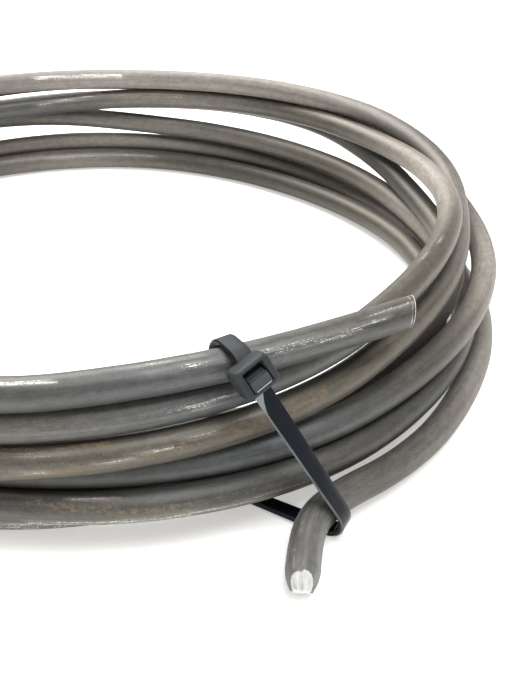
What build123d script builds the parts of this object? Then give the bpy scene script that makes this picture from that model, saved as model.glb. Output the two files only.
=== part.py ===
from build123d import *
import os
from math import ceil, cos, pi, radians, sin, sqrt, tan

# Coil of tie wire: one rod wound in seven loose turns and held by one nylon cable tie.
# Millimetres. The coil lies flat on Z = 0, and +Y is the far side. The origin is under the
# middle of the whole part, and the coil's axis stands a little behind it because the wire's
# lower end reaches out at the near side.
# Angles go with the wire, clockwise from above, and start at the near side (-Y).

# Wire
wire_diameter = 6.0
coil_radius = 90.0
axis_behind = 1.85
turn_count = 7
places_per_turn = 20
section_sides = 16
bend_step = 10.5

# Cut ends: the upper one is sheared a little askew, the lower one is nipped to a short edge
shear_slant = 9.0
nip_length = 4.4
nip_edge = 0.5
nip_edge_width = 3.6

# Where the wire lies at each angle of each turn: outward from the coil radius, and up from
# the floor to the wire's middle, both as shares of the wire diameter.
station_angles = (0, 50, 100, 150, 180, 210, 240, 255, 270, 300, 330)
lead_angles = (-49, -33, -16)
lead_shares = ((0.65, 5.16), (0.12, 5.21), (0.10, 5.20))
turn_shares = (
    ((0.30, 5.12), (-0.10, 5.00), (-0.45, 4.35), (0.00, 3.50), (0.15, 3.80), (0.75, 3.85),
     (0.00, 4.10), (-0.05, 4.35), (-0.20, 4.45), (-0.95, 4.40), (-0.25, 4.16)),
    ((0.20, 4.06), (0.90, 4.20), (0.85, 4.75), (0.00, 4.95), (0.10, 4.95), (0.75, 4.95),
     (1.20, 4.70), (1.15, 3.98), (0.22, 3.34), (-0.45, 3.35), (0.20, 3.20)),
    ((0.55, 3.06), (1.28, 3.02), (1.55, 2.60), (2.20, 2.95), (1.40, 3.42), (1.95, 3.38),
     (0.25, 2.92), (-0.20, 2.64), (0.15, 2.28), (-0.60, 2.28), (-0.92, 2.15)),
    ((-0.90, 3.15), (-0.65, 3.45), (0.60, 3.45), (1.25, 4.50), (1.30, 4.50), (2.00, 4.50),
     (1.70, 3.45), (1.55, 2.75), (1.45, 2.42), (0.62, 2.36), (0.35, 2.10)),
    ((-0.24, 2.24), (0.18, 2.70), (0.40, 2.15), (1.00, 2.95), (0.50, 2.30), (-0.20, 2.20),
     (0.00, 1.90), (0.10, 1.57), (0.53, 1.31), (0.70, 1.26), (1.02, 1.28)),
    ((0.45, 1.36), (0.00, 1.60), (-0.77, 1.10), (-0.20, 0.52), (-0.30, 0.52), (-0.90, 0.52),
     (-0.85, 0.60), (-0.65, 0.78), (-0.50, 0.70), (-0.50, 0.65), (-0.25, 0.88)),
    ((-0.24, 0.52), (0.06, 0.52), (0.46, 0.62), (0.65, 1.22), (0.54, 1.20), (0.00, 1.10),
     (0.30, 0.60), (0.45, 0.53), (1.22, 0.52), (1.46, 0.52)),
)
tail_angles = (317, 325, 329.5, 332.3, 334.4)
tail_shares = ((1.90, 0.62), (1.93, 0.78), (2.36, 0.82), (3.30, 0.65), (4.50, 0.56))

# Cable tie
strap_width = 3.6
strap_thickness = 1.2
strap_clearance = 0.12
head_width = 6.8
head_length = 5.6
head_height = 4.4
head_foot = 0.3
head_fillet = 0.6
slot_width = 4.0
slot_length = 3.4
slot_depth = 1.6
tail_length = 1.5
tail_proud = 1.0

# The strap turns at these wires, from the head down the outside, under the coil, up its inside
# and over its top: the wire's place at that angle, then how far the strap's corner stands from
# it outward, along the coil towards its free end and up, as shares of the strap's bend radius.
head_angle = 334.3
head_wire_shares = (0.12, 5.215)
head_offset_shares = (1.25, 0.00, 0.25)
tie_angles = (327.9, 335.5, 335.5, 335.3, 334.6)
tie_wire_shares = ((2.18, 0.82), (-0.27, 0.80), (-0.92, 2.26), (0.12, 5.215), (0.12, 5.215))
tie_offset_shares = ((1.73, 1.05, -1.12), (-1.30, 0.00, -1.06), (-1.25, 0.00, 0.00),
                     (-1.25, 0.00, 1.00), (0.60, 0.00, 1.00))


def place(angle, shares):
    outward, up = shares
    radius = coil_radius + outward * wire_diameter
    x = -radius * sin(radians(angle))
    y = axis_behind - radius * cos(radians(angle))
    return Vector(x, y, up * wire_diameter)


def stations():
    table = list(zip(lead_angles, lead_shares))
    for turn, row in enumerate(turn_shares):
        for angle, shares in zip(station_angles, row):
            table.append((turn * 360 + angle, shares))
    for angle, shares in zip(tail_angles, tail_shares):
        table.append(((turn_count - 1) * 360 + angle, shares))
    return table


def blend(table, angle):
    # Cubic between the stations on either side, with the slope at each from its neighbours.
    index = max(i for i, row in enumerate(table) if row[0] <= angle)
    before, start, end, after = table[index - 1:index + 3]
    span = end[0] - start[0]
    along = (angle - start[0]) / span
    values = []
    for axis in (0, 1):
        slope_start = (end[1][axis] - before[1][axis]) / (end[0] - before[0]) * span
        slope_end = (after[1][axis] - start[1][axis]) / (after[0] - start[0]) * span
        rise = end[1][axis] - start[1][axis]
        bend = 3 * rise - 2 * slope_start - slope_end
        twist = slope_start + slope_end - 2 * rise
        values.append(start[1][axis] + along * (slope_start + along * (bend + along * twist)))
    return values


def coil_places():
    # The corners of a polygon round the coil stand out from it, so that the arcs between
    # the middles of its sides lie on the coil.
    step = 360 / places_per_turn
    stand_out = coil_radius / wire_diameter * (1 / cos(radians(step / 2)) - 1)
    last = (turn_count - 1) * 360 + tail_angles[0]
    table = stations()
    places = []
    angle = 0
    while angle < last:
        outward, up = blend(table, angle)
        places.append(place(angle, (outward + stand_out, up)))
        angle += step
    return places


def wire_line():
    # A quadratic B-spline over the corners touches each side of their polygon in its middle.
    # It is taken in short straight runs, each of which turns from the last by a few degrees.
    lead = [place(angle, shares) for angle, shares in zip(lead_angles, lead_shares)]
    tail = [place(angle, shares) for angle, shares in zip(tail_angles, tail_shares)]
    corners = lead + coil_places() + tail
    middles = [(a + b) * 0.5 for a, b in zip(corners, corners[1:])]
    middles[0] = corners[0]
    middles[-1] = corners[-1]
    line = []
    for start, corner, end in zip(middles, corners[1:], middles[1:]):
        count = ceil((corner - start).get_angle(end - corner) / bend_step)
        for number in range(count):
            t = number / count
            line.append(start * (1 - t) ** 2 + corner * (2 * t * (1 - t)) + end * t ** 2)
    return line + [middles[-1]]


def onto(ring, direction, point, normal):
    # Slides each corner of a ring along the rod onto a plane.
    return [v + direction * ((point - v).dot(normal) / direction.dot(normal)) for v in ring]


def rings(line):
    # Neighbouring runs of the rod meet in the plane that halves their angle, so all its faces
    # are flat and its section stays the same. The section has the area of the round one.
    runs = [(b - a).normalized() for a, b in zip(line, line[1:])]
    area = pi * wire_diameter ** 2 / 4
    corner_radius = sqrt(area / (section_sides / 2 * sin(2 * pi / section_sides)))
    start = Plane(origin=line[0], x_dir=Vector(0, 0, 1).cross(runs[0]), z_dir=runs[0])
    turns = [2 * pi * number / section_sides for number in range(section_sides)]
    ring = [start.from_local_coords(Vector(cos(t), sin(t), 0) * corner_radius) for t in turns]
    sheared = runs[0] + start.x_dir * tan(radians(shear_slant))
    made = [onto(ring, runs[0], line[0], sheared)]
    for run, following, point in zip(runs, runs[1:] + runs[-1:], line[1:]):
        made.append(onto(made[-1], run, point, run + following))
    return made


def nipped(rod, line):
    # The nippers leave a roof on the end: the rod keeps what lies inside a block that narrows
    # to the edge.
    run = line[-1] - line[-2]
    level = Vector(0, 0, 1).cross(run)
    back = line[-1] - run.normalized() * nip_length
    wide = Plane(origin=back, x_dir=level, z_dir=run) * Rectangle(wire_diameter, wire_diameter)
    edge = Plane(origin=line[-1], x_dir=level, z_dir=run) * Rectangle(nip_edge_width, nip_edge)
    around = Plane(origin=back, x_dir=level, z_dir=run) * Box(
        2 * wire_diameter, 2 * wire_diameter, 2 * nip_length,
        align=(Align.CENTER, Align.CENTER, Align.MIN))
    return rod - (around - loft([wide, edge], ruled=True))


def wire():
    line = wire_line()
    made = rings(line)
    faces = [Face(Wire.make_polygon(made[0])), Face(Wire.make_polygon(made[-1]))]
    for ring, following in zip(made, made[1:]):
        for a, b, c, d in zip(ring, ring[1:] + ring[:1], following[1:] + following[:1], following):
            faces.append(Face(Wire.make_polygon([a, b, c, d])))
    rod = Solid(Shell(faces))
    length = sum((b - a).length for a, b in zip(line, line[1:]))
    print("wire length", round(length), "mm in", len(line) - 1, "runs, volume", round(rod.volume))
    return nipped(rod, line)


def strap_corner(angle, wire_shares, offset_shares):
    bend_radius = wire_diameter / 2 + strap_clearance + strap_thickness / 2
    outward = Vector(-sin(radians(angle)), -cos(radians(angle)), 0)
    along = Vector(cos(radians(angle)), -sin(radians(angle)), 0)
    offset = outward * offset_shares[0] + along * offset_shares[1] + Vector(0, 0, offset_shares[2])
    return place(angle, wire_shares) + offset * bend_radius


def strap_section(point, across, direction):
    return Plane(origin=point, x_dir=across, z_dir=direction) * Rectangle(strap_width, strap_thickness)


def strap(start, corners, end, across):
    # Each bend turns about the strap's width, and the straight runs between take up the twist.
    bend_radius = wire_diameter / 2 + strap_clearance + strap_thickness / 2
    points = [start] + corners + [end]
    pieces = []
    section = strap_section(start, across, corners[0] - start)
    for before, corner, after in zip(points, points[1:], points[2:]):
        inward = (corner - before).normalized()
        onward = (after - corner).normalized()
        turn = inward.get_angle(onward)
        axis = inward.cross(onward).normalized()
        reach = bend_radius * tan(radians(turn / 2))
        first = corner - inward * reach
        centre = first + axis.cross(inward) * bend_radius
        if axis.dot(across) < 0:
            across = axis * -1
        else:
            across = axis
        bend_start = strap_section(first, across, inward)
        pieces.append(loft([section, bend_start], ruled=True))
        pieces.append(revolve(bend_start, Axis(centre, axis), revolution_arc=turn))
        section = strap_section(corner + onward * reach, across, onward)
    pieces.append(loft([section, strap_section(end, across, onward)], ruled=True))
    return pieces


def tie_head(plane):
    block = Box(head_width, head_length, head_height, align=(Align.CENTER, Align.CENTER, Align.MIN))
    block = fillet(block.edges(), head_fillet)
    slot = Pos(0, 0, head_height) * Box(slot_width, slot_length, 2 * slot_depth)
    tail = Pos(0, (tail_length - slot_length) / 2, head_height - slot_depth) * Box(
        strap_width, tail_length, tail_proud, align=(Align.CENTER, Align.CENTER, Align.MIN))
    return plane * Pos(0, 0, -strap_thickness / 2 - head_foot) * (block - slot + tail)


def cable_tie():
    head_centre = strap_corner(head_angle, head_wire_shares, head_offset_shares)
    corners = [strap_corner(*row) for row in zip(tie_angles, tie_wire_shares, tie_offset_shares)]
    down = (corners[0] - head_centre).normalized()
    along = Vector(cos(radians(head_angle)), -sin(radians(head_angle)), 0)
    across = (along - down * along.dot(down)).normalized()
    outer = Plane(origin=head_centre, x_dir=across, z_dir=across.cross(down) * -1)
    return Part() + strap(head_centre, corners, head_centre, across) + tie_head(outer)


os.makedirs("parts", exist_ok=True)
export_step(wire(), "parts/wire.step")
export_step(cable_tie(), "parts/cable_tie.step")
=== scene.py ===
# %% [markdown]
# # A coil of tie wire, dressed in Blender
#
# The object is seven loose turns of thick steel wire, dark with mill scale and a little rust,
# and one black nylon cable tie that holds them together. The imported model gives the exact
# places. This lesson builds what the camera sees: a smooth round wire with its two cut ends, a
# moulded tie with its head, window and teeth, and two materials that carry the wear and some
# painted light and shade.

# %% Load the imported frame
import math

import bmesh
import bpy
import numpy as np
from mathutils import Matrix, Vector


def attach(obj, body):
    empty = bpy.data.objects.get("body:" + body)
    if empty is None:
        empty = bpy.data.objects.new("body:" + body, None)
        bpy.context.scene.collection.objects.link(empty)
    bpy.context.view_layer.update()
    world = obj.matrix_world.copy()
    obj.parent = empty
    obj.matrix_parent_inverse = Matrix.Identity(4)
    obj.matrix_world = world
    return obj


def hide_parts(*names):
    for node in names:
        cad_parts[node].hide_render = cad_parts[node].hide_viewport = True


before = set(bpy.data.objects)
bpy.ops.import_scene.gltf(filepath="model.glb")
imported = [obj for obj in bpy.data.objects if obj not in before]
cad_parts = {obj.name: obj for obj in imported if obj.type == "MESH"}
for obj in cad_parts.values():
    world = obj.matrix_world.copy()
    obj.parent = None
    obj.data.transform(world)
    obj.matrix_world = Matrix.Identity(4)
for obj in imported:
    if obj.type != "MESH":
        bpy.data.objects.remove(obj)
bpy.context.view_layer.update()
MM = 0.001
print("nodes of the packed model:", sorted(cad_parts))

# %% [markdown]
# ## Where the camera stands
#
# The photograph looks down on the near right of the coil and cuts off its left side. A camera
# is a place, a point that it looks at and a lens. Here the place follows from how steeply it
# looks down and how far away it is, and a small roll tilts the picture as a hand would.

# %% The camera
wire_diameter = 6.0 * MM
axis_behind = 1.85 * MM
aim_right, aim_near = 7.08 * wire_diameter, 4.13 * wire_diameter
look_at = np.array([aim_right, axis_behind - aim_near, 0.0])
look_distance = 36.25 * wire_diameter
look_down = math.radians(31.9)
camera_roll = math.radians(1.5)
photo_height = 688
focal_pixels = 912
sensor_long_side = 36.0
nearest_seen = 10.0 * MM

forward = np.array([0.0, math.cos(look_down), -math.sin(look_down)])
level_right = np.array([1.0, 0.0, 0.0])
level_up = np.cross(level_right, forward)
camera_right = math.cos(camera_roll) * level_right + math.sin(camera_roll) * level_up
camera_up = math.cos(camera_roll) * level_up - math.sin(camera_roll) * level_right
camera_place = look_at - look_distance * forward

lens = bpy.data.cameras.new("camera")
lens.sensor_fit = "VERTICAL"
lens.sensor_height = sensor_long_side
lens.lens = focal_pixels / photo_height * sensor_long_side
lens.clip_start = nearest_seen
camera = bpy.data.objects.new("camera", lens)
bpy.context.scene.collection.objects.link(camera)
turn = Matrix([[*row] for row in np.stack([camera_right, camera_up, -forward], axis=1)])
camera.matrix_world = Matrix.Translation(camera_place) @ turn.to_4x4()
bpy.context.scene.camera = camera
print("camera at", [round(v, 3) for v in camera_place], "lens", round(lens.lens, 1), "mm")

# %% [markdown]
# ## The floor and the light
#
# The coil lies on white paper in bright, soft daylight, so the floor is close to pure white and
# the shadows are pale. A white world gives the even light from all sides. One large area light
# stands for the window, on the left and behind, and draws the long soft highlights on the wire.
# A weaker one above the coil stands for the sky, and its light is a little bluish.

# %% The white floor and the daylight
def link(name, data):
    """A new object in the scene."""
    made = bpy.data.objects.new(name, data)
    bpy.context.scene.collection.objects.link(made)
    return made


def new_mesh(name, points, edges=(), faces=()):
    """A mesh over points in metres."""
    mesh = bpy.data.meshes.new(name)
    mesh.from_pydata([tuple(p) for p in points], edges, faces)
    return mesh


floor_half = 4000.0 * MM
floor_drop = 0.12 * MM
floor_corners = [(x * floor_half, y * floor_half, -floor_drop)
                 for x, y in ((-1, -1), (1, -1), (1, 1), (-1, 1))]
floor_mesh = new_mesh("floor", floor_corners, faces=[(0, 1, 2, 3)])
floor = link("floor", floor_mesh)

# The paper is overexposed in the photograph, so it glows a little by itself.
paper_look = {"Base Color": (0.93, 0.925, 0.91, 1.0), "Roughness": 0.9,
              "Emission Color": (1.0, 0.99, 0.965, 1.0), "Emission Strength": 0.42}
paper = bpy.data.materials.new("white_paper")
paper.use_nodes = True
for socket_name, value in paper_look.items():
    paper.node_tree.nodes["Principled BSDF"].inputs[socket_name].default_value = value
floor_mesh.materials.append(paper)

daylight_look = {"Color": (1.0, 0.985, 0.965, 1.0), "Strength": 0.62}
world = bpy.data.worlds.new("daylight")
bpy.context.scene.world = world
world.use_nodes = True
for socket_name, value in daylight_look.items():
    world.node_tree.nodes["Background"].inputs[socket_name].default_value = value


# %% The two lights
def soft_light(name, stands_at, aims_at, size, power, colour):
    """A rectangular light at a place in metres, turned towards a point."""
    light = bpy.data.lights.new(name, "AREA")
    light.shape = "RECTANGLE"
    light.size, light.size_y = size
    light.energy = power
    light.color = colour
    lamp = link(name, light)
    towards = np.array(aims_at) - np.array(stands_at)
    back = -towards / np.linalg.norm(towards)
    right = np.cross([0.0, 0.0, 1.0], back)
    right /= np.linalg.norm(right)
    up = np.cross(back, right)
    axes = Matrix([[*row] for row in np.stack([right, up, back], axis=1)])
    lamp.matrix_world = Matrix.Translation(stands_at) @ axes.to_4x4()


soft_light("window", stands_at=(-0.55, 0.75, 0.95), aims_at=(0.0, 0.0, 0.0), size=(0.9, 0.7),
           power=26.0, colour=(1.0, 0.985, 0.96))
soft_light("sky", stands_at=(0.25, -0.2, 1.2), aims_at=(0.05, -0.02, 0.0), size=(0.8, 0.8),
           power=12.0, colour=(0.95, 0.98, 1.0))
bpy.context.scene.view_settings.view_transform = "Standard"

# %% [markdown]
# ## The wire's route
#
# Somebody wound this wire by hand, so no two turns lie alike. The route is a table: at eleven
# angles of each turn, how far out from the coil's mean radius the wire lies, and how high, both
# in wire diameters. A short lead before the first turn holds the upper end, and a tail that
# leaves the last turn holds the lower one. The solid model is built from the same table, but
# for eight places that are moved here by up to half a millimetre, so that turns which touch
# leave no hairline of light between them. A cubic blend fills in between, and a quadratic
# B-spline over the resulting corners gives a line as smooth as a rod that was bent by hand.

# %% The route's table
coil_radius = 90.0 * MM
turn_count = 7
places_per_turn = 20
station_angles = (0, 50, 100, 150, 180, 210, 240, 255, 270, 300, 330)
lead_angles = (-49, -33, -16)
lead_shares = ((0.65, 5.16), (0.12, 5.21), (0.10, 5.20))
turn_shares = (
    ((0.30, 5.12), (-0.10, 5.00), (-0.45, 4.35), (0.00, 3.50), (0.15, 3.86), (0.75, 3.89),
     (0.00, 4.10), (-0.05, 4.35), (-0.20, 4.45), (-0.95, 4.40), (-0.25, 4.16)),
    ((0.20, 4.06), (0.90, 4.20), (0.85, 4.75), (0.00, 4.95), (0.10, 4.90), (0.75, 4.92),
     (1.20, 4.70), (1.15, 3.98), (0.22, 3.34), (-0.45, 3.35), (0.20, 3.20)),
    ((0.55, 3.06), (1.28, 3.02), (1.55, 2.60), (2.20, 2.95), (1.40, 3.42), (1.95, 3.38),
     (0.25, 2.92), (-0.20, 2.64), (0.15, 2.28), (-0.60, 2.28), (-0.92, 2.15)),
    ((-0.90, 3.15), (-0.65, 3.45), (0.60, 3.45), (1.25, 4.50), (1.30, 4.50), (2.00, 4.50),
     (1.70, 3.45), (1.55, 2.75), (1.45, 2.42), (0.62, 2.36), (0.35, 2.10)),
    ((-0.24, 2.17), (0.18, 2.70), (0.40, 2.15), (1.00, 2.95), (0.50, 2.30), (-0.20, 2.20),
     (0.00, 1.90), (0.10, 1.57), (0.53, 1.31), (0.70, 1.28), (1.00, 1.35)),
    ((0.43, 1.44), (0.00, 1.60), (-0.77, 1.10), (-0.20, 0.52), (-0.30, 0.52), (-0.90, 0.52),
     (-0.85, 0.60), (-0.65, 0.78), (-0.50, 0.70), (-0.50, 0.65), (-0.25, 0.88)),
    ((-0.24, 0.52), (0.06, 0.52), (0.46, 0.62), (0.65, 1.22), (0.54, 1.20), (0.00, 1.10),
     (0.30, 0.60), (0.45, 0.53), (1.22, 0.52), (1.46, 0.52)),
)
tail_angles = (317, 325, 329.5, 332.3, 334.4)
tail_shares = ((1.90, 0.62), (1.93, 0.78), (2.36, 0.82), (3.30, 0.65), (4.50, 0.56))
last_turn_start = (turn_count - 1) * 360


# %% Places on the route
def place(angle, shares):
    """The point at an angle, from its shares outward and up. Angles run clockwise."""
    distance = coil_radius + shares[0] * wire_diameter
    turned = math.radians(angle)
    return np.array([-distance * math.sin(turned), axis_behind - distance * math.cos(turned),
                     shares[1] * wire_diameter])


def stations():
    """All rows of the table, with angles that count on from turn to turn."""
    table = list(zip(lead_angles, lead_shares))
    for turn_number, row in enumerate(turn_shares):
        for angle, shares in zip(station_angles, row):
            table.append((turn_number * 360 + angle, shares))
    for angle, shares in zip(tail_angles, tail_shares):
        table.append((last_turn_start + angle, shares))
    return table


print("the route's table has", len(stations()), "places")


def blend(table, angle):
    """The shares between two stations, on a cubic that keeps the slopes at both."""
    index = max(i for i, row in enumerate(table) if row[0] <= angle)
    before, start, end, after = table[index - 1:index + 3]
    span = end[0] - start[0]
    along = (angle - start[0]) / span
    values = []
    for axis in (0, 1):
        slope_start = (end[1][axis] - before[1][axis]) / (end[0] - before[0]) * span
        slope_end = (after[1][axis] - start[1][axis]) / (after[0] - start[0]) * span
        rise = end[1][axis] - start[1][axis]
        bend = 3 * rise - 2 * slope_start - slope_end
        twist = slope_start + slope_end - 2 * rise
        values.append(start[1][axis] + along * (slope_start + along * (bend + along * twist)))
    return values


# %% The route's corners, each with its angle
def route_corners():
    """Evenly spaced corners. They stand out a little, because the curve stays inside them."""
    step = 360 / places_per_turn
    stand_out = coil_radius / wire_diameter * (1 / math.cos(math.radians(step / 2)) - 1)
    table = stations()
    corners = [(angle, place(angle, shares)) for angle, shares in zip(lead_angles, lead_shares)]
    angle = 0
    while angle < last_turn_start + tail_angles[0]:
        outward, up = blend(table, angle)
        corners.append((angle, place(angle, (outward + stand_out, up))))
        angle += step
    for angle, shares in zip(tail_angles, tail_shares):
        corners.append((last_turn_start + angle, place(angle, shares)))
    return corners


corners = route_corners()
route_span = corners[-1][0] - corners[0][0]
print("the route has", len(corners), "corners over", round(route_span), "degrees")

# %% [markdown]
# ## The smooth line
#
# A quadratic B-spline joins the middles of a polygon's sides and touches the sides there, which
# is just what a bent rod does. Its points are worked out evenly along the wire, and closer
# together near the two cut ends, where the cutter's marks need fine rings.

# %% The smooth line of the wire
def smooth_line(corners, samples):
    """Points of a quadratic B-spline over the corners, with angle in turns as fourth number."""
    data = np.array([[*point, angle / 360] for angle, point in corners])
    middles = (data[1:] + data[:-1]) / 2
    middles[0], middles[-1] = data[0], data[-1]
    t = np.linspace(0, 1, samples, endpoint=False)[:, None]
    pieces = []
    for start, corner, end in zip(middles[:-1], data[1:-1], middles[1:]):
        pieces.append((1 - t) ** 2 * start + 2 * t * (1 - t) * corner + t ** 2 * end)
    return np.concatenate(pieces + [middles[-1:]])


def length_along(line):
    """How far along the line each of its points lies."""
    steps = np.linalg.norm(np.diff(line[:, :3], axis=0), axis=1)
    return np.concatenate([[0.0], np.cumsum(steps)])


samples_per_corner = 60
dense = smooth_line(corners, samples_per_corner)
dense_along = length_along(dense)
wire_length = dense_along[-1]

# %% Where the wire gets its rings of points
ring_step = 1.75 * MM
fine_step = 0.22 * MM
fine_reach = 7.0 * MM
fine_places = np.arange(0.0, fine_reach, fine_step)
even_places = np.linspace(fine_reach, wire_length - fine_reach,
                          round((wire_length - 2 * fine_reach) / ring_step))
ring_places = np.concatenate([fine_places, even_places, wire_length - fine_places[::-1]])
wire_line = np.stack([np.interp(ring_places, dense_along, dense[:, k]) for k in range(4)],
                     axis=1)
print("wire length", round(wire_length / MM), "mm in", len(wire_line), "rings")

# %% [markdown]
# ## A short way to write nodes
#
# Both the shape and the finish are made with nodes. Written out in full, a sum of two values
# takes four lines, so a small class wraps an output socket and lets Python's own signs add the
# Math nodes. A second class holds a tree, and its add method makes every other node: it takes
# the node's type, then its settings, then the values or links of its inputs.

# %% A socket with arithmetic
class Value:
    """One output socket. Sums, products and the like of it add Math nodes to its tree."""

    def __init__(self, graph, socket):
        self.graph = graph
        self.socket = socket

    def math(self, operation, *others):
        return self.graph.add("ShaderNodeMath", {"operation": operation},
                              dict(enumerate((self, *others))))

    def reflected(self, operation, other):
        return self.graph.add("ShaderNodeMath", {"operation": operation}, {0: other, 1: self})

    def __add__(self, other):
        return self.math("ADD", other)

    def __sub__(self, other):
        return self.math("SUBTRACT", other)

    def __rsub__(self, other):
        return self.reflected("SUBTRACT", other)

    def __mul__(self, other):
        return self.math("MULTIPLY", other)

    def __truediv__(self, other):
        return self.math("DIVIDE", other)

    def __rtruediv__(self, other):
        return self.reflected("DIVIDE", other)

    def __abs__(self):
        return self.math("ABSOLUTE")

    __radd__ = __add__
    __rmul__ = __mul__

    def at_most(self, other):
        return self.math("MINIMUM", other)

    def at_least(self, other):
        return self.math("MAXIMUM", other)

    def clamp(self):
        return self.at_least(0.0).at_most(1.0)

    def ramp(self, low, high):
        """0 below low, 1 above high and a smooth rise between them."""
        return self.graph.add("ShaderNodeMapRange", {"interpolation_type": "SMOOTHSTEP"},
                              {"Value": self, "From Min": low, "From Max": high})


# %% A tree that grows
class Graph:
    """A node tree, and short ways to add nodes to it."""

    def __init__(self, tree):
        self.tree = tree

    def add(self, kind, settings=None, inputs=None, output=0):
        """Adds a node and returns one of its outputs, where it has any."""
        node = self.tree.nodes.new(kind)
        for name, value in (settings or {}).items():
            setattr(node, name, value)
        for key, value in (inputs or {}).items():
            if isinstance(value, Value):
                self.tree.links.new(value.socket, node.inputs[key])
            else:
                node.inputs[key].default_value = value
        return Value(self, node.outputs[output]) if node.outputs else None

    def mix(self, factor, first, second):
        """A colour between two colours."""
        return self.add("ShaderNodeMix", {"data_type": "RGBA"}, {0: factor, 6: first, 7: second},
                        output=2)

    def noise(self, place, scale, detail=3.0, roughness=0.55):
        return self.add("ShaderNodeTexNoise", {"noise_dimensions": "3D"},
                        {"Vector": place, "Scale": scale, "Detail": detail,
                         "Roughness": roughness})

    def vector_math(self, operation, first, second):
        return self.add("ShaderNodeVectorMath", {"operation": operation}, {0: first, 1: second})

    def attribute(self, name, output=2):
        """In a material: a number stored on the mesh's points. Output 1 is a vector."""
        return self.add("ShaderNodeAttribute", {"attribute_name": name}, output=output)

    def stored(self, name, kind="FLOAT_VECTOR"):
        """In a geometry tree: a vector or a number stored on the points."""
        return self.add("GeometryNodeInputNamedAttribute", {"data_type": kind}, {"Name": name})

    def store(self, geometry, name, vector):
        """In a geometry tree: the geometry with a vector stored on its points."""
        return self.add("GeometryNodeStoreNamedAttribute",
                        {"data_type": "FLOAT_VECTOR", "domain": "POINT"},
                        {"Geometry": geometry, "Name": name, "Value": vector})


# %% [markdown]
# ## The wire, by Geometry Nodes
#
# A rod is a circle carried along a line, and Curve to Mesh does that. The tree also writes on
# every point where it lies on the straightened wire: two numbers across it and one along it.
# The finish reads these, so that rust and scratches follow the wire round all its turns without
# a seam. A rod that was rolled hot, wound and knocked about is never quite even, so the surface
# moves in and out a little.

# %% How a tree for a modifier begins and ends
def new_geometry_tree(name, inputs):
    """A tree with named inputs, and those inputs by name."""
    tree = bpy.data.node_groups.new(name, "GeometryNodeTree")
    tree.is_modifier = True
    tree.interface.new_socket("Geometry", in_out="INPUT", socket_type="NodeSocketGeometry")
    for label, kind, value in inputs:
        socket = tree.interface.new_socket(label, in_out="INPUT", socket_type=kind)
        if value is not None:
            socket.default_value = value
    tree.interface.new_socket("Geometry", in_out="OUTPUT", socket_type="NodeSocketGeometry")
    graph = Graph(tree)
    source = tree.nodes.new("NodeGroupInput")
    return graph, {socket.name: Value(graph, socket) for socket in source.outputs if socket.name}


def finish_tree(graph, geometry, material):
    """Makes instances real, sets the material and leads the result out."""
    realized = graph.add("GeometryNodeRealizeInstances", None, {"Geometry": geometry})
    dressed = graph.add("GeometryNodeSetMaterial", None,
                        {"Geometry": realized, "Material": material})
    graph.add("NodeGroupOutput", None, {"Geometry": dressed})


# %% The wire's node tree
places_around = 26
unevenness = 0.10 * MM
swell_scale = 260.0
swell_stretch = (1.0, 1.0, 0.22)


def wire_tree():
    graph, given = new_geometry_tree("wire from its line", (
        ("Wire Diameter", "NodeSocketFloat", wire_diameter),
        ("Places Around", "NodeSocketInt", places_around),
        ("Unevenness", "NodeSocketFloat", unevenness),
        ("Material", "NodeSocketMaterial", None)))
    line = graph.add("GeometryNodeMeshToCurve", None, {"Mesh": given["Geometry"]})
    line = graph.add("GeometryNodeSetCurveNormal", {"mode": "Z_UP"}, {"Curve": line})
    radius = given["Wire Diameter"] * 0.5
    circle = graph.add("GeometryNodeCurvePrimitiveCircle", {"mode": "RADIUS"},
                       {"Resolution": given["Places Around"], "Radius": radius})
    circle = graph.store(circle, "across", graph.add("GeometryNodeInputPosition"))
    tube = graph.add("GeometryNodeCurveToMesh", None,
                     {"Curve": line, "Profile Curve": circle, "Fill Caps": False})
    along = graph.add("ShaderNodeCombineXYZ", None, {"Z": graph.stored("along", "FLOAT")})
    wire_place = graph.vector_math("ADD", graph.stored("across"), along)
    tube = graph.store(tube, "wire_place", wire_place)
    stretched = graph.vector_math("MULTIPLY", wire_place, swell_stretch)
    swell = graph.noise(stretched, swell_scale, detail=2.0) - 0.5
    normal = graph.add("GeometryNodeInputNormal")
    push = graph.add("ShaderNodeVectorMath", {"operation": "SCALE"},
                     {"Vector": normal, "Scale": swell * given["Unevenness"] * 2.0})
    tube = graph.add("GeometryNodeSetPosition", None, {"Geometry": tube, "Offset": push})
    tube = graph.add("GeometryNodeSetShadeSmooth", None, {"Geometry": tube, "Shade Smooth": True})
    finish_tree(graph, tube, given["Material"])
    return graph.tree


# %% A modifier's inputs, and the plain mesh that it makes
def plain_mesh(name, source, tree, inputs):
    """Runs a tree on a mesh and returns a new object that holds the result."""
    carrier = link(name + "_source", source)
    modifier = carrier.modifiers.new("nodes", "NODES")
    modifier.node_group = tree
    by_name = {item.name: item.identifier for item in tree.interface.items_tree
               if item.in_out == "INPUT"}
    for label, value in inputs.items():
        modifier[by_name[label]] = value
    depsgraph = bpy.context.evaluated_depsgraph_get()
    mesh = bpy.data.meshes.new_from_object(carrier.evaluated_get(depsgraph),
                                           preserve_all_data_layers=True, depsgraph=depsgraph)
    mesh.name = name
    bpy.data.objects.remove(carrier)
    return link(name, mesh)


# %% Numbers stored on a mesh's points
def write_attribute(mesh, name, values):
    """Stores one number, or a row of three, on each point."""
    values = np.asarray(values, np.float32)
    single = values.ndim == 1
    layer = mesh.attributes.new(name, "FLOAT" if single else "FLOAT_VECTOR", "POINT")
    layer.data.foreach_set("value" if single else "vector", values.ravel())


def read_attribute(mesh, name, size=1):
    """What is stored: one number, or a row of numbers, for each point."""
    values = np.zeros(len(mesh.vertices) * size, np.float32)
    mesh.attributes[name].data.foreach_get("value" if size == 1 else "vector", values)
    return values.astype(float) if size == 1 else values.astype(float).reshape(-1, size)


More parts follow.
